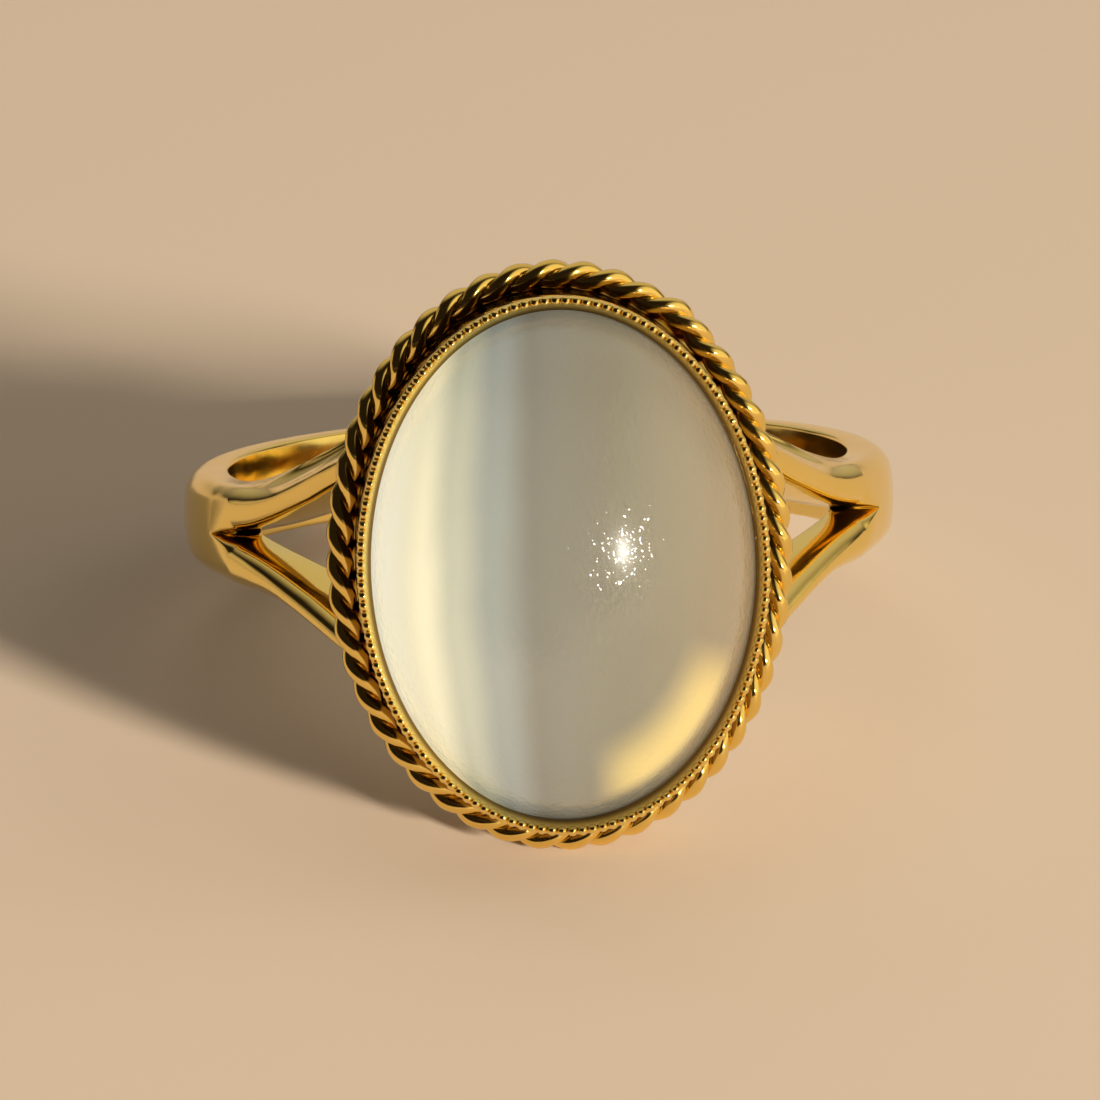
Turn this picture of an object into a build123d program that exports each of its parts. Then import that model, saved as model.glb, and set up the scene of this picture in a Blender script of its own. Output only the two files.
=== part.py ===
from build123d import *
from math import acos, asin, atan2, cos, degrees, hypot, pi, radians, sin
import os

# A finger ring with an oval cabochon. A plain band splits at each shoulder into two arms, which
# carry an oval base plate. On the plate stand a bezel, closed over the stone, and round it a rope
# of two twisted strands. All the metal is soldered into one solid. The stone is a piece of its own.
#
# Millimetres. The ring is drawn standing flat: z is the finger's axis, x runs across the finger,
# and the stone looks along -y, so a distance n from the finger's axis toward the stone is -y.
# At the end it is laid down as it rests by itself, on the lowest lobe of the rope and on the back
# of the band, with the floor at z = 0.

# Band
finger_r = 9.8            # inside radius: 19.6 mm across, about US size 9 3/4
band_r = 11.25            # outside radius, so the band is 1.45 mm thick
band_half = 1.45          # half width of the band, which is even as far as the shoulders
band_edge_r = 0.70        # rounding of the band's outer edges, which makes it nearly half round
split_edge_r = 0.24       # rounding of the arms' edges along the split
split_root_r = 0.14       # rounding in the corner where the arms part
inner_edge_r = 0.12       # softened edges toward the finger
arm_foot_x = 6.15         # half distance between the arms' outer sides at the base plate
# Half width over the shoulders as the stone's side shows it, so that the arms are wider inside
shoulder_view = [  # x, half width
    (9.60, 1.45),
    (8.85, 1.62),
    (8.11, 2.04),
    (7.34, 2.60),
    (6.51, 3.20),
    (5.20, 4.10),
]
# Half width of the split between the arms, in side view
split_view = [  # n, half width
    (4.15, 0),
    (6.25, 0.54),
    (8.00, 1.26),
    (9.45, 1.96),
    (11.2, 2.80),
]

# Head: heights n, and half axes across (a) and along (b) the finger
plate_low, plate_top = 10.6, 11.55
plate_a, plate_b = 6.62, 8.57
bezel_a, bezel_b = 6.17, 8.12
rim_n, rim_a, rim_b = 14.25, 5.96, 7.90    # flat rim, down to where the lip's bevel starts
lip_n, lip_a, lip_b = 14.00, 5.73, 7.62    # inner edge of the lip, under its bevel
girdle_n = 12.7           # the stone's sides stand straight up to here
stone_a, stone_b = 5.91, 7.85              # an oval of nearly 16 by 12 mm
dome_h = 5.1              # height of the dome above that
stone_gap = 0.04          # clearance of the stone in its bezel

# Rope wire
rope_n = 11.95            # plane of the wire's centre line, so that it sinks into the plate a little
rope_a, rope_b = 6.62, 8.57
lobes = 48                # lobes round the head, two for each turn of the twist
strand_r = 0.235          # radius of a strand
strand_at = 0.19          # distance of a strand's centre from the wire's
strand_lean = 37          # slope of a strand to the wire in degrees, which widens its section
lobe_steps = 5            # sections in each lobe


def between(rows, at):
    """The second column of a table where its first is at, by straight lines."""
    rows = sorted(rows)
    for low, high in zip(rows, rows[1:]):
        if low[0] <= at <= high[0]:
            return low[1] + (high[1] - low[1]) * (at - low[0]) / (high[0] - low[0])
    return rows[0][1] if at < rows[0][0] else rows[-1][1]


def face_plane(n):
    """A plane square to the stone's direction, n from the finger's axis."""
    return Plane(origin=(0, -n, 0), x_dir=(1, 0, 0), z_dir=(0, -1, 0))


def oval_dome(grow, base_n):
    """The stone's form, grown all round: straight sides from base_n, then half an ellipsoid."""
    a, b, h = stone_a + grow, stone_b + grow, dome_h + grow
    with BuildPart() as ball:
        Sphere(1, rotation=(90, 0, 0))
        scale(by=(a, h, b))
    with BuildPart() as dome:
        with BuildSketch(face_plane(base_n)):
            Ellipse(a, b)
        extrude(amount=girdle_n - base_n)
        with BuildPart(mode=Mode.PRIVATE) as upper:
            add(ball.part)
            with Locations((0, 10, 0)):
                Box(30, 20, 30, mode=Mode.SUBTRACT)
        with Locations((0, -girdle_n, 0)):
            add(upper.part)
    return dome.part


def outer_edges(part, split):
    """Edges on the outside of the arms: those along the split, or those along the band's sides."""
    got = []
    for edge in part.edges():
        middle = edge @ 0.5
        n = -middle.Y
        if hypot(middle.X, middle.Y) < band_r - 0.5 or n > plate_low + 0.25:
            continue
        if edge.geom_type == GeomType.LINE:
            continue
        half_arm = (between(shoulder_view, abs(middle.X)) + between(split_view, n)) / 2
        by_split = n > split_view[0][0] and abs(middle.Z) < half_arm
        if by_split == split:
            got.append(edge)
    return got


def finger_edges(part):
    """Edges of the arms and the band on the finger hole, without the cylinder's own seam."""
    got = []
    for edge in part.edges():
        near = [hypot((edge @ t).X, (edge @ t).Y) < finger_r + 0.01 for t in (0.1, 0.5, 0.9)]
        if all(near) and edge.length > 0.05 and edge.geom_type != GeomType.LINE:
            got.append(edge)
    return got


# The outline along the finger's axis is a circle with tangents that run up to the plate's sides.
# It is cut to the view from the stone's side, and the split goes through it from side to side.
foot_n = plate_low + 0.3
touch = atan2(foot_n, arm_foot_x) - acos(band_r / hypot(foot_n, arm_foot_x))
with BuildPart() as band:
    with BuildSketch(Plane.XY):
        Circle(band_r)
        with BuildLine():
            Polyline(
                (band_r * cos(touch), -band_r * sin(touch)),
                (arm_foot_x, -foot_n),
                (-arm_foot_x, -foot_n),
                (-band_r * cos(touch), -band_r * sin(touch)),
                close=True,
            )
        make_face()
    extrude(amount=4.5, both=True)
    with BuildPart(mode=Mode.INTERSECT):
        Box(24, 12, 2 * band_half, align=(Align.CENTER, Align.MIN, Align.CENTER))
        with BuildSketch(Plane.XZ):
            with BuildLine():
                flare = Spline(shoulder_view, tangents=[(-1, 0), (-0.81, 0.59)])
                Line((12, band_half), flare @ 0)
                Line(flare @ 1, (0, shoulder_view[-1][1]))
                Line((12, band_half), (12, 0))
                Line((12, 0), (0, 0))
                Line((0, 0), (0, shoulder_view[-1][1]))
            make_face()
            mirror(about=Plane.XZ)
            mirror(about=Plane.YZ)
        extrude(amount=12)
    with BuildSketch(Plane.YZ):
        with BuildLine():
            upper = Spline([(-n, half) for n, half in split_view], tangents=[(-1, 0.2), (-1, 0.38)])
            lower = Spline([(-n, -half) for n, half in split_view], tangents=[(-1, -0.2), (-1, -0.38)])
            Line(upper @ 1, lower @ 1)
        make_face()
    extrude(amount=20, both=True, mode=Mode.SUBTRACT)
    Cylinder(finger_r, 20, mode=Mode.SUBTRACT)
    fillet(edges().filter_by(Axis.X).sort_by(Axis.Y)[-2:], split_root_r)
    fillet(outer_edges(band.part, split=False), band_edge_r)
    fillet(outer_edges(band.part, split=True), split_edge_r)
    fillet(finger_edges(band.part), inner_edge_r)

# The rope is a closed loop of sections across both strands, each turned a little further than the
# one before. Seen from the stone's side and going anticlockwise, the near strand moves inward.
wide = strand_r / cos(radians(strand_lean))
half_section = [  # out from the wire's centre, across
    (strand_at + strand_r * cos(radians(v)), wide * sin(radians(v))) for v in (-104, -56, 0, 56, 104)
]
waist = [(0, wide * 0.62)]
section = half_section + waist + [(-u, -v) for u, v in half_section + waist]


def rope_sections():
    """Points of each section, spaced evenly along the oval."""
    fine, count = 4000, lobes * lobe_steps
    oval = [(rope_a * cos(2 * pi * i / fine), rope_b * sin(2 * pi * i / fine)) for i in range(fine + 1)]
    run = [0.0]
    for (x0, z0), (x1, z1) in zip(oval, oval[1:]):
        run.append(run[-1] + hypot(x1 - x0, z1 - z0))
    rings, j = [], 0
    for i in range(count):
        along = run[-1] * i / count
        while run[j + 1] < along:
            j += 1
        t = 2 * pi * (j + (along - run[j]) / (run[j + 1] - run[j])) / fine
        out_x, out_z = cos(t) / rope_a, sin(t) / rope_b
        size = hypot(out_x, out_z)
        turn = pi * i / lobe_steps
        ring = []
        for u, v in section:
            out = (u * cos(turn) - v * sin(turn)) / size
            near = u * sin(turn) + v * cos(turn)
            ring.append((rope_a * cos(t) + out * out_x, -rope_n - near, rope_b * sin(t) + out * out_z))
        rings.append(ring)
    return rings


rings = rope_sections()
facets = []
for i, ring in enumerate(rings):
    after = rings[(i + 1) % len(rings)]
    for j in range(len(ring)):
        k = (j + 1) % len(ring)
        facets.append(Face(Wire.make_polygon([ring[j], ring[k], after[k]], close=True)))
        facets.append(Face(Wire.make_polygon([ring[j], after[k], after[j]], close=True)))
with BuildPart() as rope_border:
    add(Solid(Shell(facets)))

# Base plate and bezel, with the stone's hollow and the lip's bevel
with BuildPart() as setting:
    with BuildSketch(face_plane(plate_low)):
        Ellipse(plate_a, plate_b)
    extrude(amount=plate_top - plate_low)
    with BuildSketch(face_plane(plate_top)):
        Ellipse(bezel_a, bezel_b)
    extrude(amount=rim_n - plate_top)
    add(oval_dome(stone_gap, plate_top), mode=Mode.SUBTRACT)
    with BuildSketch(face_plane(lip_n)):
        Ellipse(lip_a, lip_b)
    with BuildSketch(face_plane(rim_n)):
        Ellipse(rim_a, rim_b)
    loft(mode=Mode.SUBTRACT, ruled=True)

# The soldered metal
with BuildPart() as ring_mount:
    add(setting.part)
    add(band.part)
    add(rope_border.part, clean=False)

with BuildPart() as cabochon:
    add(oval_dome(0, plate_top + stone_gap))

# Laid down: one tangent line under the rope and under the rounded edge at the back of the band
rope_out = strand_at + strand_r
drop = rope_b - (band_half - band_edge_r)
reach = rope_n + band_r - band_edge_r
tilt = atan2(drop, reach) + asin((rope_out - band_edge_r) / hypot(drop, reach))
leaning = Location((0, 0, 0), (-degrees(tilt), 0, 0))
box = ring_mount.part.moved(leaning).bounding_box().add(cabochon.part.moved(leaning).bounding_box())
rest = Location((0, -box.center().Y, -box.min.Z)) * leaning
ring_mount.part.locate(rest)
cabochon.part.locate(rest)

os.makedirs("parts", exist_ok=True)
ring_mount.part.label = "ring_mount"
export_step(ring_mount.part, "parts/ring_mount.step")
cabochon.part.label = "cabochon"
export_step(cabochon.part, "parts/cabochon.step")
print("tilt", degrees(tilt), "shift", -box.center().Y, -box.min.Z, "size", box.size)
print("mount solids", len(ring_mount.part.solids()), "volume", ring_mount.part.volume)
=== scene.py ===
# %% [markdown]
# # A gold ring with an oval cabochon
# The ring lies on its side, as a ring rests by itself: the head's lower edge and the back of the
# band touch the floor. The CAD file already has every size. This lesson gives the same shapes
# smooth surfaces, adds the two things that are too fine for CAD (the rope's round strands and the
# row of beads on the rim), and finishes gold and moonstone with node materials.

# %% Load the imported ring
import bpy
import bmesh
from math import acos, atan2, cos, hypot, pi, radians, sin, sqrt, tan
from mathutils import Matrix, Vector


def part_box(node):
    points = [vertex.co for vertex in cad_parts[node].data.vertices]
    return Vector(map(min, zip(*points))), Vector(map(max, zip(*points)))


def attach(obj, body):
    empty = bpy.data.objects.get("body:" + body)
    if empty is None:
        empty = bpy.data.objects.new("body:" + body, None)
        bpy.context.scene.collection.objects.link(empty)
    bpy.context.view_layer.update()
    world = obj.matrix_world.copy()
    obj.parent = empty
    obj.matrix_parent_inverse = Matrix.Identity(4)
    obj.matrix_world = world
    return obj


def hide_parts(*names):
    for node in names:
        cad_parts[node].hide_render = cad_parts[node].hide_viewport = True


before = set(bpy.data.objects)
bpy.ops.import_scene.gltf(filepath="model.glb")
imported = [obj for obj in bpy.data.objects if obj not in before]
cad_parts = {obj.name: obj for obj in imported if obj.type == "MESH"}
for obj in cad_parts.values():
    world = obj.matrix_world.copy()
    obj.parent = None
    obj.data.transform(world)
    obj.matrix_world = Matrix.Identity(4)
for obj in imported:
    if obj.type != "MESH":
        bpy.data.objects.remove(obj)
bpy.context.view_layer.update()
print("nodes:", sorted(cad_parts))

# %% [markdown]
# A tilted object is easiest to draw upright. All the pieces below are drawn in the ring's own
# millimetres: x runs across the finger, y along the finger, and z from the finger's axis toward the
# stone. One matrix then lays them where the CAD ring lies, and turns millimetres into metres.

# %% The matrix that lays the ring down
lean = radians(18.504)         # the finger's axis leans back from upright by this much
centre_y, centre_z = 3.271, 4.763
mm = 0.001
lay_down = Matrix((
    (mm, 0, 0, 0),
    (0, mm * sin(lean), -mm * cos(lean), mm * centre_y),
    (0, mm * cos(lean), mm * sin(lean), mm * centre_z),
    (0, 0, 0, 1),
))
stone_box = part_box("cabochon")
print("stone's CAD box, mm:", [[round(v / mm, 2) for v in corner] for corner in stone_box])


def piece_from(name, mesh, material, node=None):
    """Make an object of a mesh drawn in ring millimetres, lay it down and fix it to the ring."""
    drawn = mesh.attributes.new("drawn", "FLOAT_VECTOR", "POINT")
    for vertex, place in zip(mesh.vertices, drawn.data):
        place.vector = vertex.co
    mesh.transform(lay_down)
    mesh.update()
    piece = bpy.data.objects.new(name, mesh)
    bpy.context.scene.collection.objects.link(piece)
    mesh.materials.clear()
    mesh.materials.append(material)
    for face in mesh.polygons:
        face.use_smooth = True
    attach(piece, "root")
    if node:
        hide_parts(node)
    print(name, "faces:", len(mesh.polygons))


def mesh_of(name, points, faces, merge=1e-5):
    """A mesh with coincident points merged and its faces pointing outwards."""
    build = bmesh.new()
    verts = [build.verts.new(p) for p in points]
    for face in faces:
        build.faces.new([verts[i] for i in face])
    bmesh.ops.remove_doubles(build, verts=build.verts, dist=merge)
    bmesh.ops.dissolve_degenerate(build, edges=build.edges, dist=merge)
    bmesh.ops.recalc_face_normals(build, faces=build.faces)
    mesh = bpy.data.meshes.new(name)
    build.to_mesh(mesh)
    build.free()
    return mesh


# %% [markdown]
# ## Gold
# Polished gold has almost no colour of its own: it is a tinted mirror, so it looks right only when
# there are light and dark things round it. What tells worn gold from a perfect mirror is fine:
# hairlines and shallow unevenness from polishing, and a roughness that changes from place to place.
# Noise on Object coordinates gives both without any seam.

# %% A node helper and the gold material
def add_node(tree, kind, inputs=None, **settings):
    """Add a node, set its properties, and set or link its inputs."""
    node = tree.nodes.new(kind)
    for key, value in settings.items():
        setattr(node, key, value)
    for key, value in (inputs or {}).items():
        if isinstance(value, bpy.types.NodeSocket):
            tree.links.new(value, node.inputs[key])
        else:
            node.inputs[key].default_value = value
    return node


def new_material(name):
    """A material with one Principled shader, its node tree and that shader."""
    material = bpy.data.materials.new(name)
    material.use_nodes = True
    tree = material.node_tree
    tree.nodes.clear()
    shader = tree.nodes.new("ShaderNodeBsdfPrincipled")
    output = tree.nodes.new("ShaderNodeOutputMaterial")
    tree.links.new(shader.outputs[0], output.inputs[0])
    return material, tree, shader


# Noise cells in a metre, and the height of hairlines and dents in metres
cloud_scale, wear_scale, dent_scale = 420, 900, 650
hair_scale = (900, 5200, 1400)
hair_height, dent_height = 0.00002, 0.0002


def gold(name, light, deep, rough_low, rough_high, dent):
    """Polished gold, cloudy between two tones, with soft dents and hairline scratches."""
    material, tree, shader = new_material(name)
    place = tree.nodes.new("ShaderNodeTexCoord").outputs["Object"]
    clouds = add_node(tree, "ShaderNodeTexNoise", {"Vector": place, "Scale": cloud_scale, "Detail": 4})
    tone = add_node(tree, "ShaderNodeMix", {0: clouds.outputs[0], 6: deep, 7: light}, data_type="RGBA")
    tree.links.new(tone.outputs[2], shader.inputs["Base Color"])
    wear = add_node(tree, "ShaderNodeTexNoise", {"Vector": place, "Scale": wear_scale, "Detail": 6})
    rough = add_node(tree, "ShaderNodeMapRange", {
        "Value": wear.outputs[0], "From Min": 0.3, "From Max": 0.7,
        "To Min": rough_low, "To Max": rough_high})
    tree.links.new(rough.outputs[0], shader.inputs["Roughness"])
    along = add_node(tree, "ShaderNodeMapping", {"Vector": place, "Scale": hair_scale})
    hair = add_node(tree, "ShaderNodeTexNoise", {"Vector": along.outputs[0], "Scale": 1, "Detail": 3})
    dents = add_node(tree, "ShaderNodeTexNoise", {"Vector": place, "Scale": dent_scale, "Detail": 1})
    fine = add_node(tree, "ShaderNodeBump", {
        "Height": hair.outputs[0], "Strength": 0.05, "Distance": hair_height})
    soft = add_node(tree, "ShaderNodeBump", {
        "Height": dents.outputs[0], "Strength": dent, "Distance": dent_height, "Normal": fine.outputs[0]})
    tree.links.new(soft.outputs[0], shader.inputs["Normal"])
    shader.inputs["Metallic"].default_value = 1.0
    return material


band_gold = gold("band_gold", (1.0, 0.78, 0.28, 1), (0.97, 0.70, 0.18, 1), 0.07, 0.15, 0.10)
bezel_gold = gold("bezel_gold", (1.0, 0.76, 0.26, 1), (0.95, 0.66, 0.17, 1), 0.07, 0.18, 0.16)
rope_gold = gold("rope_gold", (1.0, 0.75, 0.24, 1), (0.94, 0.63, 0.14, 1), 0.07, 0.17, 0.10)
print("gold finishes:", band_gold.name, bezel_gold.name, rope_gold.name)

# %% [markdown]
# ## The band
# The band is a 1.45 mm thick hoop, nearly half round, whose shoulders split into two arms. It could
# be cut with booleans, but polished metal shows every stray triangle, so here the mesh is woven in
# order: a station every few degrees, and at each station one rounded section of the upper half. The
# lower half is its mirror image. Where the band isn't split, the halves share the points at y = 0.

# %% Sizes of the band
finger_r, band_r = 9.8, 11.25
split_at = 4.15                # z of the corner where the arms part
foot_x, foot_z = 6.15, 10.9    # where the outline's tangent ends, at the base plate
under_plate = 10.7             # the arms run a little way into the plate
band_half = 1.45               # half width of the band, even as far as the shoulders
shoulder_view = (              # x, half width over the shoulders as the stone's side shows it
    (5.2, 4.10), (6.51, 3.20), (7.34, 2.60), (8.11, 2.04), (8.85, 1.62), (9.6, 1.45), (11.2, 1.45),
)
split_view = (                 # z, half width of the split
    (4.15, 0), (6.25, 0.54), (8.0, 1.26), (9.45, 1.96), (11.2, 2.80),
)
touch = atan2(foot_z, foot_x) - acos(band_r / hypot(foot_x, foot_z))
touch_x, touch_z = band_r * cos(touch), band_r * sin(touch)
print("the shoulder leaves the circle at", round(touch * 180 / pi, 1), "degrees")


def curve_through(z, rows):
    """A smooth curve through a table's second column."""
    last = len(rows) - 1
    i = max(k for k in range(last) if k == 0 or rows[k][0] <= z)
    low, high = rows[i], rows[i + 1]
    before, after = rows[max(i - 1, 0)], rows[min(i + 2, last)]
    step = high[0] - low[0]
    t = (z - low[0]) / step
    start = (high[1] - before[1]) / (high[0] - before[0]) * step
    end = (after[1] - low[1]) / (after[0] - low[0]) * step
    return (
        (2 * t ** 3 - 3 * t ** 2 + 1) * low[1] + (t ** 3 - 2 * t ** 2 + t) * start
        + (3 * t ** 2 - 2 * t ** 3) * high[1] + (t ** 3 - t ** 2) * end
    )


def split_width(z):
    """Half width of the split at a height z, which is none below the corner."""
    return max(0.0, curve_through(z, split_view)) if z > split_at else 0.0


def band_width(x, z):
    """The arms' outer sides follow x, so a half-round arm is wider on its finger side."""
    if z < 0 or abs(x) > shoulder_view[-2][0]:
        return band_half
    return curve_through(max(abs(x), shoulder_view[0][0]), shoulder_view)


# %% Stations along the band
def outline_x(z):
    """x of the band's outer outline at a height z."""
    if z <= touch_z:
        return sqrt(band_r ** 2 - z ** 2)
    return touch_x + (z - touch_z) * (foot_x - touch_x) / (foot_z - touch_z)


def spread(low, high, count):
    """Evenly spaced values from low up to, but not with, high."""
    return [low + (high - low) * i / count for i in range(count)]


def on_circle(r, angle):
    return r * cos(angle), r * sin(angle)


level = 12.0                   # degrees up to which the stations are radial
back_steps, root_steps, arm_steps, turn_steps, plate_steps = 60, 12, 60, 20, 12
stations = [
    (on_circle(band_r, radians(a)), on_circle(finger_r, radians(a))) for a in spread(-90, level, back_steps)]
root_out = atan2(split_at, outline_x(split_at))
root_in = atan2(split_at, sqrt(finger_r ** 2 - split_at ** 2))
for i in range(root_steps):
    out_angle = radians(level) + (root_out - radians(level)) * i / root_steps
    in_angle = radians(level) + (root_in - radians(level)) * i / root_steps
    stations.append((on_circle(band_r, out_angle), on_circle(finger_r, in_angle)))
side_on = 8.4                  # up to here both ends of a section have the same z
for z in spread(split_at, side_on, arm_steps):
    stations.append(((outline_x(z), z), (sqrt(finger_r ** 2 - z ** 2), z)))
in_start = atan2(side_on, sqrt(finger_r ** 2 - side_on ** 2))
in_turn = radians(74)
for i in range(turn_steps):
    z = side_on + (under_plate - side_on) * i / turn_steps
    in_angle = in_start + (in_turn - in_start) * i / turn_steps
    stations.append(((outline_x(z), z), on_circle(finger_r, in_angle)))
for i in range(plate_steps + 1):
    x = outline_x(under_plate) * (1 - i / plate_steps)
    stations.append(((x, under_plate), on_circle(finger_r, in_turn + (pi / 2 - in_turn) * i / plate_steps)))
print("stations from the back to the head:", len(stations))


# %% The rounded section
def round_corner(before, corner, after, radius, count):
    """Points along an arc that rounds a corner of a flat outline."""
    corner, before, after = Vector(corner), Vector(before), Vector(after)
    one, two = (before - corner), (after - corner)
    reach = 0.48 * min(one.length, two.length)
    if reach < 1e-4 or radius < 1e-3:
        return [corner.copy() for _ in range(count)]
    one.normalize()
    two.normalize()
    half = acos(max(-0.9999, min(0.9999, one.dot(two)))) / 2
    length = min(radius / tan(half), reach)
    radius = length * tan(half)
    middle = corner + (one + two).normalized() * (radius / sin(half))
    start, end = corner + one * length - middle, corner + two * length - middle
    sweep = start.angle_signed(end)
    points = []
    for i in range(count):
        turn = -sweep * i / (count - 1)
        points.append(middle + Vector((
            start.x * cos(turn) - start.y * sin(turn), start.x * sin(turn) + start.y * cos(turn))))
    return points


edge_steps, outer_steps, split_steps, inner_steps = 9, 6, 7, 4
side_drop = 0.20               # how far the domed outer face falls toward its sides
hoop_edge_r, arm_edge_r = 0.62, 0.52
arm_split_r, finger_edge_r = 0.26, 0.12
parting = 1.1                  # height over which the hoop's section becomes an arm's


def section(outer, inner):
    """One arm's section: outer side edge, split edge, and the two edges toward the finger."""
    thick = hypot(outer[0] - inner[0], outer[1] - inner[1])
    wide_out, wide_in = band_width(*outer), band_width(*inner)
    gap_out, gap_in = split_width(outer[1]), split_width(inner[1])
    parted = min(1.0, max(0.0, (outer[1] - split_at) / parting))
    split_r = arm_split_r * parted
    edge_r = hoop_edge_r + (arm_edge_r - hoop_edge_r) * parted
    a, b, c, d = (thick, wide_out), (thick, gap_out), (0, gap_in), (0, wide_in)
    side_edge = round_corner(d, a, b, edge_r, edge_steps)
    split_edge = round_corner(a, b, c, split_r, split_steps)
    over = [side_edge[-1].lerp(split_edge[0], i / (outer_steps + 1)) for i in range(1, outer_steps + 1)]
    flat = (
        side_edge + over + split_edge
        + round_corner(b, c, d, finger_edge_r if gap_in > 0.02 else 0, inner_steps)
        + round_corner(c, d, a, finger_edge_r, inner_steps)
    )
    middle = (wide_out + gap_out) / 2 * parted
    dome = [p.x * (1 - side_drop / thick * ((p.y - middle) / (wide_out - middle)) ** 2) for p in flat]
    return [(
        inner[0] + (outer[0] - inner[0]) * reach / thick, p.y,
        inner[1] + (outer[1] - inner[1]) * reach / thick) for p, reach in zip(flat, dome)]


half_hoop = [section(outer, inner) for outer, inner in stations]
mirrored = [[(-x, y, z) for x, y, z in loop] for loop in reversed(half_hoop[1:-1])]
hoop = half_hoop + mirrored
print("points in a section:", len(hoop[0]))

# %% Weave both halves of the band
points, faces = [], []
wall_from = edge_steps + outer_steps + split_steps - 1
for side in (1, -1):
    base = len(points)
    for loop in hoop:
        points += [(x, side * y, z) for x, y, z in loop]
    size = len(hoop[0])
    for i in range(len(hoop)):
        here, there = base + i * size, base + (i + 1) % len(hoop) * size
        for j in range(size):
            k = (j + 1) % size
            closed = hoop[i][wall_from][1] < 1e-6 and hoop[(i + 1) % len(hoop)][wall_from][1] < 1e-6
            if j == wall_from and closed:
                continue
            faces.append((here + j, here + k, there + k, there + j))
piece_from("split_band", mesh_of("split_band", points, faces), band_gold, "ring_mount")

# %% [markdown]
# ## Base plate and bezel
# Both are ovals, and each height of them is an ellipse, so one outline of (half width, height) rows
# carried round an ellipse makes plate, wall, lip and hollow in one closed mesh. Short rows at the
# corners round them, which is what catches the light on a real bezel.

# %% The oval profile
oval_extra = 1.95              # an ellipse here is this much longer than wide, on each half


def carry_round(name, rows, count):
    """Carry rows of (half width, height) round an oval and close both ends with a face."""
    points = [
        (a * cos(2 * pi * i / count), (a + oval_extra) * sin(2 * pi * i / count), z)
        for a, z in rows for i in range(count)
    ]
    faces = [tuple(range(count)), tuple(range((len(rows) - 1) * count, len(rows) * count))]
    for j in range(len(rows) - 1):
        for i in range(count):
            k = (i + 1) % count
            faces.append((j * count + i, j * count + k, (j + 1) * count + k, (j + 1) * count + i))
    return mesh_of(name, points, faces)


plate_a, plate_low, plate_top = 6.62, 10.6, 11.55
bezel_a, rim_z, rim_a = 6.17, 14.25, 5.96
girdle_z, hollow_a, hollow_h = 12.7, 5.95, 5.14
lip_z, lip_a = 14.0, 5.73
plate_rows = [(plate_a - 0.6, plate_low), (plate_a - 0.08, plate_low), (plate_a - 0.02, plate_low + 0.03),
              (plate_a, plate_low + 0.09), (plate_a, plate_top - 0.09),
              (plate_a - 0.03, plate_top - 0.02), (plate_a - 0.09, plate_top)]
wall_rows = [(bezel_a, plate_top), (bezel_a, 12.5), (bezel_a, 13.4), (bezel_a, rim_z - 0.12),
             (bezel_a - 0.02, rim_z - 0.06), (bezel_a - 0.06, rim_z - 0.015), (bezel_a - 0.11, rim_z),
             (rim_a + 0.03, rim_z), (rim_a, rim_z - 0.008), (rim_a - 0.04, rim_z - 0.04)]
lip_rows = [(lip_a + 0.10, lip_z + 0.085), (lip_a + 0.05, lip_z + 0.05)]
hollow_rows, hollow_top, hollow_steps = [], lip_z + 0.03, 5
for i in range(hollow_steps + 1):
    z = hollow_top - (hollow_top - girdle_z) * i / hollow_steps
    hollow_rows.append((hollow_a * sqrt(1 - ((z - girdle_z) / hollow_h) ** 2), z))
hollow_rows.append((hollow_a, plate_top))
profile = plate_rows + wall_rows + lip_rows + hollow_rows
oval_steps = 320
piece_from("plate_and_bezel", carry_round("plate_and_bezel", profile, oval_steps), bezel_gold, "ring_mount")

# %% [markdown]
# ## Beads on the rim
# Milgrain is a row of tiny beads rolled into the metal's edge. It repeats, so Geometry Nodes make
# it: an oval curve, resampled to as many points as there are beads, with a small sphere on each.
# Named inputs keep the count and the size in reach. The spheres sit half in the rim.

# %% A small kit for node trees
def geometry_tree(name, inputs):
    """A Geometry Nodes tree with named inputs, as (name, socket type, default) rows."""
    tree = bpy.data.node_groups.new(name, "GeometryNodeTree")
    for label, kind, default in inputs:
        socket = tree.interface.new_socket(name=label, in_out="INPUT", socket_type=kind)
        if default is not None:
            socket.default_value = default
    tree.interface.new_socket(name="Geometry", in_out="OUTPUT", socket_type="NodeSocketGeometry")
    return tree, tree.nodes.new("NodeGroupInput").outputs, tree.nodes.new("NodeGroupOutput").inputs


def grown(name, tree):
    """Run a tree on an empty object and return the result as a plain mesh."""
    host = bpy.data.objects.new(name + "_host", bpy.data.meshes.new(name + "_host"))
    bpy.context.scene.collection.objects.link(host)
    host.modifiers.new("grow", "NODES").node_group = tree
    bpy.context.view_layer.update()
    whole = host.evaluated_get(bpy.context.evaluated_depsgraph_get())
    mesh = bpy.data.meshes.new_from_object(whole)
    bpy.data.objects.remove(host)
    return mesh


def vector_math(tree, operation, *values):
    """One Vector Math node. The third value of SCALE is its factor."""
    node = add_node(tree, "ShaderNodeVectorMath", operation=operation)
    for i, value in enumerate(values):
        socket = node.inputs["Scale"] if operation == "SCALE" and i == 1 else node.inputs[i]
        if isinstance(value, bpy.types.NodeSocket):
            tree.links.new(value, socket)
        else:
            socket.default_value = value
    return node.outputs["Value" if operation == "DOT_PRODUCT" else "Vector"]


def value_math(tree, operation, *values):
    """One Math node."""
    node = add_node(tree, "ShaderNodeMath", operation=operation)
    for i, value in enumerate(values):
        if isinstance(value, bpy.types.NodeSocket):
            tree.links.new(value, node.inputs[i])
        else:
            node.inputs[i].default_value = value
    return node.outputs[0]


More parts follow.
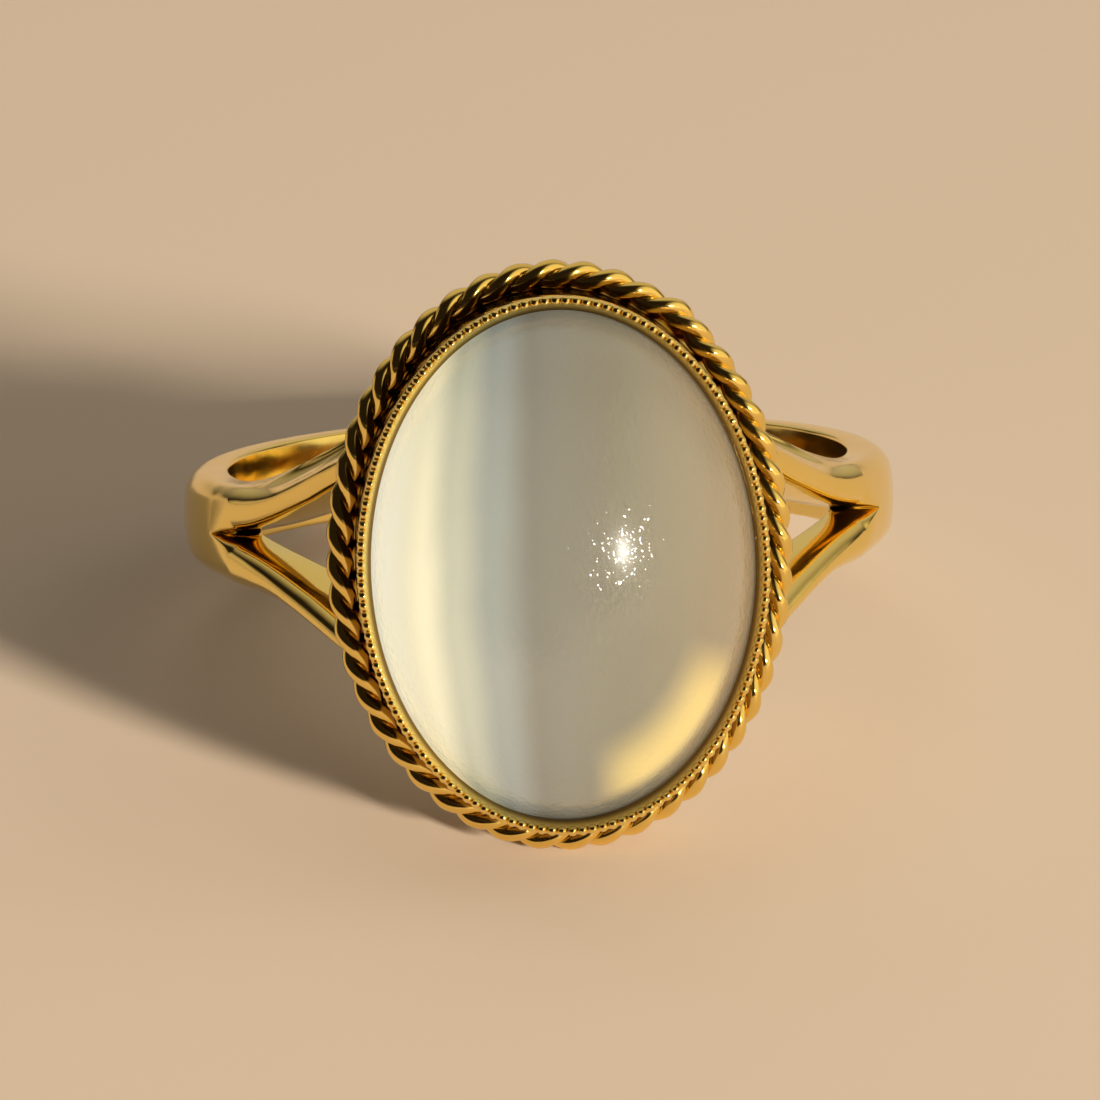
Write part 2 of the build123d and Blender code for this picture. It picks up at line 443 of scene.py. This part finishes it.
def oval_curve(tree, half_width, half_height, height, count):
    """An oval curve with evenly spaced points, in the plane z = height."""
    circle = add_node(tree, "GeometryNodeCurvePrimitiveCircle", {"Resolution": 720, "Radius": 1.0})
    stretch = add_node(tree, "ShaderNodeCombineXYZ", {0: half_width, 1: half_height, 2: 1.0})
    spot = tree.nodes.new("GeometryNodeInputPosition").outputs[0]
    lift = add_node(tree, "ShaderNodeCombineXYZ", {2: height})
    moved = vector_math(tree, "MULTIPLY_ADD", spot, stretch.outputs[0], lift.outputs[0])
    oval = add_node(tree, "GeometryNodeSetPosition", {"Geometry": circle.outputs[0], "Position": moved})
    return add_node(tree, "GeometryNodeResampleCurve", {"Curve": oval.outputs[0], "Count": count}).outputs[0]


# %% Grow the beads
tree, given, result = geometry_tree("rim_beads", [
    ("Half Width", "NodeSocketFloat", 6.04), ("Half Height", "NodeSocketFloat", 7.99),
    ("Height", "NodeSocketFloat", 14.27), ("Beads", "NodeSocketInt", 144),
    ("Bead Radius", "NodeSocketFloat", 0.155)])
rim = oval_curve(tree, given["Half Width"], given["Half Height"], given["Height"], given["Beads"])
bead = add_node(tree, "GeometryNodeMeshUVSphere", {
    "Segments": 12, "Rings": 8, "Radius": given["Bead Radius"]})
row = add_node(tree, "GeometryNodeInstanceOnPoints", {"Points": rim, "Instance": bead.outputs[0]})
solid = add_node(tree, "GeometryNodeRealizeInstances", {"Geometry": row.outputs[0]})
finish = add_node(tree, "GeometryNodeSetMaterial", {"Geometry": solid.outputs[0], "Material": bezel_gold})
tree.links.new(finish.outputs[0], result[0])
piece_from("rim_beads", grown("rim_beads", tree), bezel_gold)

# %% [markdown]
# ## The rope
# Round the bezel's foot lies a wire of two strands twisted together. Each strand is a helix wound
# along the oval. A tree can do that on one curve: every point moves off the wire's centre line by a
# fixed distance, in a direction that turns with its place along the curve. The second strand is
# half a turn behind the first. Where the wire's two ends are soldered together, it bulges a little.

# %% Grow both strands
twists, steps_per_twist = 24, 24
tree, given, result = geometry_tree("rope_strands", [
    ("Half Width", "NodeSocketFloat", 6.62), ("Half Height", "NodeSocketFloat", 8.57),
    ("Height", "NodeSocketFloat", 11.95), ("Points", "NodeSocketInt", twists * steps_per_twist),
    ("Twists", "NodeSocketFloat", twists), ("Strand Offset", "NodeSocketFloat", 0.178),
    ("Strand Radius", "NodeSocketFloat", 0.247), ("Join Place", "NodeSocketFloat", 0.163),
    ("Join Reach", "NodeSocketFloat", 0.022), ("Join Lift", "NodeSocketFloat", 0.13)])
wire = oval_curve(tree, given["Half Width"], given["Half Height"], given["Height"], given["Points"])
along = tree.nodes.new("GeometryNodeSplineParameter").outputs["Factor"]
tangent = tree.nodes.new("GeometryNodeInputTangent").outputs[0]
outward = vector_math(tree, "CROSS_PRODUCT", tangent, (0, 0, 1))
turn = value_math(tree, "MULTIPLY", value_math(tree, "MULTIPLY", along, given["Twists"]), 2 * pi)
from_join = value_math(tree, "ABSOLUTE", value_math(tree, "SUBTRACT", along, given["Join Place"]))
bulge = add_node(tree, "ShaderNodeMapRange", {
    "Value": from_join, "From Max": given["Join Reach"], "To Min": given["Join Lift"], "To Max": 0.0},
    interpolation_type="SMOOTHSTEP")
pushed = vector_math(tree, "SCALE", outward, bulge.outputs[0])
join = tree.nodes.new("GeometryNodeJoinGeometry")
for start in (0.0, pi):
    angle = value_math(tree, "ADD", turn, start)
    level_part = vector_math(tree, "SCALE", outward, value_math(tree, "COSINE", angle))
    upright = add_node(tree, "ShaderNodeCombineXYZ", {2: value_math(tree, "SINE", angle)})
    aside = vector_math(tree, "ADD", level_part, upright.outputs[0])
    offset = vector_math(tree, "ADD", vector_math(tree, "SCALE", aside, given["Strand Offset"]), pushed)
    strand = add_node(tree, "GeometryNodeSetPosition", {"Geometry": wire, "Offset": offset})
    profile_ring = add_node(tree, "GeometryNodeCurvePrimitiveCircle", {
        "Resolution": 12, "Radius": given["Strand Radius"]})
    tube = add_node(tree, "GeometryNodeCurveToMesh", {
        "Curve": strand.outputs[0], "Profile Curve": profile_ring.outputs[0]})
    tree.links.new(tube.outputs[0], join.inputs[0])
finish = add_node(tree, "GeometryNodeSetMaterial", {"Geometry": join.outputs[0], "Material": rope_gold})
tree.links.new(finish.outputs[0], result[0])
piece_from("rope_border", grown("rope_border", tree), rope_gold, "ring_mount")

# %% [markdown]
# ## The cabochon
# A cabochon has no facets: straight sides at the girdle, hidden in the bezel, and a smooth dome. The
# dome is half an ellipsoid, and its rings are packed closer near the girdle, where it curves most.

# %% The dome
stone_a, stone_b, dome_h = 5.91, 7.85, 5.1
stone_base, stone_chamfer = plate_top + 0.04, 0.12
around, rings = 160, 48
dome_points = []
for a, b, z in ((stone_a - stone_chamfer, stone_b - stone_chamfer, stone_base),
                (stone_a, stone_b, stone_base + stone_chamfer)):
    dome_points += [(a * cos(2 * pi * i / around), b * sin(2 * pi * i / around), z) for i in range(around)]
for j in range(rings):
    up = pi / 2 * j / rings
    dome_points += [(
        stone_a * cos(up) * cos(2 * pi * i / around), stone_b * cos(up) * sin(2 * pi * i / around),
        girdle_z + dome_h * sin(up)) for i in range(around)]
dome_points.append((0, 0, girdle_z + dome_h))
dome_faces = [tuple(range(around))]
for j in range(rings + 1):
    for i in range(around):
        k = (i + 1) % around
        dome_faces.append((j * around + i, j * around + k, (j + 1) * around + k, (j + 1) * around + i))
crest = len(dome_points) - 1
for i in range(around):
    dome_faces.append(((rings + 1) * around + i, (rings + 1) * around + (i + 1) % around, crest))

# %% [markdown]
# Moonstone is milky: light goes a few millimetres in and scatters. Its sheen and the light inside it
# are painted. Both are laid out from the place where each point was drawn, which every piece keeps
# as an attribute. A colour ramp across the stone paints a bright left side, the bluish edge of a
# sheen and a grey middle into the base colour. It paints them more strongly into an emission glow,
# so the stone glows though it is no lamp. A soft crescent paints warm light low on the right into
# the glow. The polish is a clear coat. A fine bump on the coat alone breaks a lamp's reflection into
# sparkles, while the rougher stone under it keeps a soft halo of reflection round them.

# %% Moonstone and the stone
stone_material, tree, shader = new_material("moonstone")
drawn = add_node(tree, "ShaderNodeAttribute", {}, attribute_name="drawn").outputs["Vector"]
apart = add_node(tree, "ShaderNodeSeparateXYZ", {0: drawn})
wisps = add_node(tree, "ShaderNodeTexNoise", {"Vector": drawn, "Scale": 0.35, "Detail": 3})


def ramp(tree, value, rows):
    """A smooth colour ramp of (place, colour) rows."""
    node = add_node(tree, "ShaderNodeValToRGB", {0: value})
    node.color_ramp.interpolation = "EASE"
    while len(node.color_ramp.elements) < len(rows):
        node.color_ramp.elements.new(0.5)
    for element, (place, colour) in zip(node.color_ramp.elements, rows):
        element.position, element.color = place, (*colour, 1)
    return node.outputs[0]


def mixed(tree, factor, one, two, blend="MIX"):
    """Two colours mixed by a factor."""
    node = add_node(tree, "ShaderNodeMix", {0: factor, 6: one, 7: two}, data_type="RGBA", blend_type=blend)
    return node.outputs[2]


def fading(tree, value, start, end, low=0.0, high=1.0):
    """A smooth step from low at start to high at end."""
    node = add_node(tree, "ShaderNodeMapRange", {
        "Value": value, "From Min": start, "From Max": end, "To Min": low, "To Max": high},
        interpolation_type="SMOOTHSTEP")
    return node.outputs[0]


# How far across the stone a point is, from -1 at its left edge to 1, blown a little by the wisps.
# The zones bend with the outline, since the stone counts as narrower toward its ends.
y_share = value_math(tree, "DIVIDE", apart.outputs[1], stone_b)
bend, wisp_reach = 0.30, 0.06
curve = value_math(tree, "MULTIPLY", value_math(tree, "MULTIPLY", y_share, y_share), bend)
narrowed = value_math(tree, "MULTIPLY", value_math(tree, "SUBTRACT", 1.0, curve), stone_a)
across = value_math(tree, "DIVIDE", apart.outputs[0], narrowed)
centred = value_math(tree, "SUBTRACT", across, wisp_reach / 2)
blown = value_math(tree, "MULTIPLY_ADD", wisps.outputs[0], wisp_reach, centred)
zone = add_node(tree, "ShaderNodeMapRange", {"Value": blown, "From Min": -1.0, "From Max": 1.0}).outputs[0]
# The base colour is the stone's own milky grey with painted light on it, brightest on the left side.
body = ramp(tree, zone, (
    (0.02, (0.40, 0.40, 0.34)), (0.12, (0.36, 0.34, 0.27)), (0.21, (0.22, 0.22, 0.19)),
    (0.31, (0.13, 0.138, 0.13)), (0.42, (0.091, 0.09, 0.078)), (0.70, (0.078, 0.073, 0.056)),
    (1.0, (0.073, 0.059, 0.042))))
# The emission glow is painted light: bright on the left, a bluish painted sheen, grey in the middle, warm at
# the right edge.
painted_glow = ramp(tree, zone, (
    (0.0, (1.45, 1.43, 1.16)), (0.13, (1.40, 1.29, 0.86)), (0.21, (0.68, 0.69, 0.50)),
    (0.30, (0.365, 0.39, 0.345)), (0.42, (0.20, 0.19, 0.153)), (0.65, (0.164, 0.151, 0.11)),
    (1.0, (0.31, 0.228, 0.126))))
# A crescent of painted warm light, low on the right and near the rim, is found from the drawn place.
x_share = value_math(tree, "DIVIDE", apart.outputs[0], stone_a)
share = add_node(tree, "ShaderNodeCombineXYZ", {0: x_share, 1: y_share}).outputs[0]
low_right = vector_math(tree, "DOT_PRODUCT", share, (0.62, -0.785, 0))
out_share = add_node(tree, "ShaderNodeVectorMath", {0: share}, operation="LENGTH").outputs["Value"]
facing = fading(tree, value_math(tree, "DIVIDE", low_right, out_share), 0.84, 0.98)
rising, falling = fading(tree, out_share, 0.60, 0.84), fading(tree, out_share, 0.85, 0.93, 1.0, 0.0)
painted_warm_crescent = value_math(tree, "MULTIPLY", facing, value_math(tree, "MULTIPLY", rising, falling))
# The crescent's warm light is painted: it adds orange to the emission glow.
painted_light_colour = mixed(tree, painted_warm_crescent, painted_glow, (1.16, 0.76, 0.13, 1), "ADD")
tree.links.new(body, shader.inputs["Base Color"])
# Through this emission the stone glows by itself with painted light, though it is no lamp.
tree.links.new(painted_light_colour, shader.inputs["Emission Color"])
shader.inputs["Emission Strength"].default_value = 0.55
shader.inputs["IOR"].default_value = 1.53
shader.inputs["Roughness"].default_value = 0.20
shader.inputs["Specular IOR Level"].default_value = 0.16
shader.inputs["Coat Weight"].default_value = 1.0
shader.inputs["Coat Roughness"].default_value = 0.04
shader.inputs["Subsurface Weight"].default_value = 0.35
shader.inputs["Subsurface Radius"].default_value = (1.0, 0.8, 0.5)
shader.inputs["Subsurface Scale"].default_value = 0.0015
stretched = vector_math(tree, "MULTIPLY", drawn, (6.5, 4.0, 5.0))
peel = add_node(tree, "ShaderNodeTexNoise", {"Vector": stretched, "Scale": 1.0, "Detail": 1})
skin = add_node(tree, "ShaderNodeBump", {"Height": peel.outputs[0], "Strength": 1.0, "Distance": 0.000035})
tree.links.new(skin.outputs[0], shader.inputs["Coat Normal"])
piece_from("cabochon_stone", mesh_of("cabochon_stone", dome_points, dome_faces), stone_material, "cabochon")

# %% [markdown]
# The bezel's base colour is darkened as painted shade in two recesses: on the lip against the stone,
# and low on the bezel's wall behind the rope. The same attribute finds both places.

# %% Painted shade on the bezel
tree = bezel_gold.node_tree
drawn = add_node(tree, "ShaderNodeAttribute", {}, attribute_name="drawn").outputs["Vector"]
flat = vector_math(tree, "MULTIPLY", drawn, (1 / rim_a, 1 / (rim_a + oval_extra), 0))
out_share = add_node(tree, "ShaderNodeVectorMath", {0: flat}, operation="LENGTH").outputs["Value"]
height = add_node(tree, "ShaderNodeSeparateXYZ", {0: drawn}).outputs[2]
# Painted shade on the lip, up to 85% dark; below it, painted shade low on the wall behind the rope.
on_lip = fading(tree, out_share, 0.975, 0.998, 0.85, 0.0)
low_down, off_plate = fading(tree, height, 13.0, 13.9, 0.75, 0.0), fading(tree, height, 11.5, 11.6)
on_wall = value_math(tree, "MULTIPLY", low_down, off_plate)
painted_shade = value_math(tree, "MAXIMUM", on_lip, on_wall)
shader = next(node for node in tree.nodes if node.type == "BSDF_PRINCIPLED")
gold_tone = shader.inputs["Base Color"].links[0].from_socket
# The gold's base colour is mixed toward dark brown where shade is painted.
tree.links.new(mixed(tree, painted_shade, gold_tone, (0.13, 0.06, 0.02, 1)), shader.inputs["Base Color"])
print("grime: up to 85% on the lip and 75% on the wall")

# %% [markdown]
# ## Floor and card
# The floor is wide, because polished gold mirrors all of it. Its pale colour is half of what makes the
# gold look warm. The other half is contrast: a dark card, a painted shade that only reflections see,
# lies in front on the left. It keeps the rope's left side deep, as a jeweller's black card does.

# %% Lay the floor and the card
def sheet(name, low, high, height, colour, roughness):
    """A flat rectangle from corner to corner, in metres, in one plain colour."""
    corners = [(low[0], low[1], height), (high[0], low[1], height),
               (high[0], high[1], height), (low[0], high[1], height)]
    mesh = mesh_of(name, corners, [(0, 1, 2, 3)])
    flat_sheet = bpy.data.objects.new(name, mesh)
    bpy.context.scene.collection.objects.link(flat_sheet)
    material, tree, shader = new_material(name)
    shader.inputs["Base Color"].default_value = colour
    shader.inputs["Roughness"].default_value = roughness
    mesh.materials.append(material)
    return flat_sheet


floor_half = 12.0              # metres, so wide that polish doesn't mirror its edge
floor = sheet("floor", (-floor_half, -floor_half), (floor_half, floor_half), 0, (0.58, 0.48, 0.40, 1), 0.75)
# The card is painted shade: a dark sheet that camera, lamps and shadows don't see, only reflections.
shade_card = sheet("shade_card", (-1.2, -1.2), (0, -0.05), 0.001, (0.03, 0.02, 0.015, 1), 0.5)
shade_card.visible_camera = shade_card.visible_diffuse = shade_card.visible_shadow = False
print("floor, m:", 2 * floor_half, "across")

# %% [markdown]
# ## Lights
# A key light stands low on the right, so the shadow falls to the left and back. It lights only what
# scatters light. For polish it has a smaller twin, weak enough that its mirror image is a sparkle
# and not a white patch. Two large soft boxes fill the shadow.

# %% Lights
aim = Vector((0, 0.003, 0.006))


def soft_box(name, spot, size, power, colour, mirrored=False, scattered=True):
    """A rectangular area light at a spot, facing the ring, for what scatters or what mirrors."""
    light = bpy.data.lights.new(name, "AREA")
    light.shape, light.size, light.size_y = "RECTANGLE", size[0], size[1]
    light.energy, light.color = power, colour
    lamp = bpy.data.objects.new(name, light)
    bpy.context.scene.collection.objects.link(lamp)
    lamp.location = spot
    lamp.rotation_euler = (aim - Vector(spot)).to_track_quat("-Z", "Y").to_euler()
    lamp.visible_glossy, lamp.visible_diffuse = mirrored, scattered
    print(name, "W:", power)


soft_box("key", (0.90, -1.11, 0.33), (0.16, 0.16), 74, (1.0, 0.87, 0.68))
soft_box("key_in_polish", (0.735, -1.20, 0.41), (0.045, 0.045), 8.5, (1.0, 0.95, 0.84), mirrored=True,
         scattered=False)
soft_box("window", (0.30, 0.02, 0.28), (0.16, 0.22), 0.10, (1.0, 0.95, 0.86))
soft_box("top", (-0.05, 0.16, 0.42), (0.36, 0.22), 0.12, (1.0, 0.96, 0.92))

# %% [markdown]
# Polished metal shows what stands round it. The room is dark, with three soft bright patches: a
# warm one on the right, a wide one above the back, which draws the light lines along the arms, and a
# small one at the left, behind. Each is a direction and how far it fades.

# %% The room
world = bpy.data.worlds.new("studio")
world.use_nodes = True
tree = world.node_tree
background = tree.nodes["Background"]
way = tree.nodes.new("ShaderNodeTexCoord").outputs["Generated"]


def sky_patch(toward, start, end):
    """1 in one direction of the room, fading to 0 away from it."""
    near = vector_math(tree, "DOT_PRODUCT", way, Vector(toward).normalized())
    return fading(tree, near, start, end)


room = (0.022, 0.016, 0.012, 1)
for toward, start, end, colour in (
        ((0.90, -0.35, 0.20), 0.62, 0.95, (1.25, 1.10, 0.74, 1)),
        ((0.15, 0.75, 0.60), 0.50, 0.92, (0.74, 0.66, 0.50, 1)),
        ((-0.96, 0.42, 0.05), 0.93, 0.995, (0.70, 0.56, 0.40, 1))):
    room = mixed(tree, sky_patch(toward, start, end), room, colour)
tree.links.new(room, background.inputs[0])
background.inputs[1].default_value = 0.75
bpy.context.scene.world = world
bpy.context.scene.view_settings.view_transform = "Standard"
print("room strength:", background.inputs[1].default_value)

# %% [markdown]
# ## Camera
# The camera is placed in the ring's own frame, since that is where its angles are easy to tell: it
# looks almost down the stone's axis, from a little above and beside it. The same matrix that laid
# the ring down then carries the camera along.

# %% Camera
photo_px = 1100
away = 230.0                   # distance from the finger hole's centre
scale_px = 7244.0              # focal length in pixels of the photograph
above, beside, roll = radians(8.0), radians(2.77), radians(1.89)
seen_x, seen_y = 538.8, 501.8  # where the hole's centre appears
toward = Vector((-sin(beside) * cos(above), sin(above), cos(beside) * cos(above)))
right = Vector((0, 1, 0)).cross(toward).normalized()
upward = toward.cross(right)
right_rolled = right * cos(roll) - upward * sin(roll)
up_rolled = right * sin(roll) + upward * cos(roll)
turn_by = Matrix((right_rolled, up_rolled, toward)).transposed()
spot = toward * away
aside_x, aside_y = (photo_px / 2 - seen_x) / scale_px, (seen_y - photo_px / 2) / scale_px
tip = Matrix.Rotation(-aside_x, 3, "Y") @ Matrix.Rotation(aside_y, 3, "X")
lay_turn = (lay_down.to_3x3() * (1 / mm))
camera_data = bpy.data.cameras.new("camera")
camera_data.sensor_width = 36
camera_data.lens = scale_px * 36 / photo_px
camera_data.clip_start, camera_data.clip_end = 0.01, 40
camera = bpy.data.objects.new("camera", camera_data)
camera.matrix_world = Matrix.Translation(lay_down @ spot) @ (lay_turn @ turn_by @ tip).to_4x4()
bpy.context.scene.collection.objects.link(camera)
bpy.context.scene.camera = camera
print("lens, mm:", round(camera_data.lens))
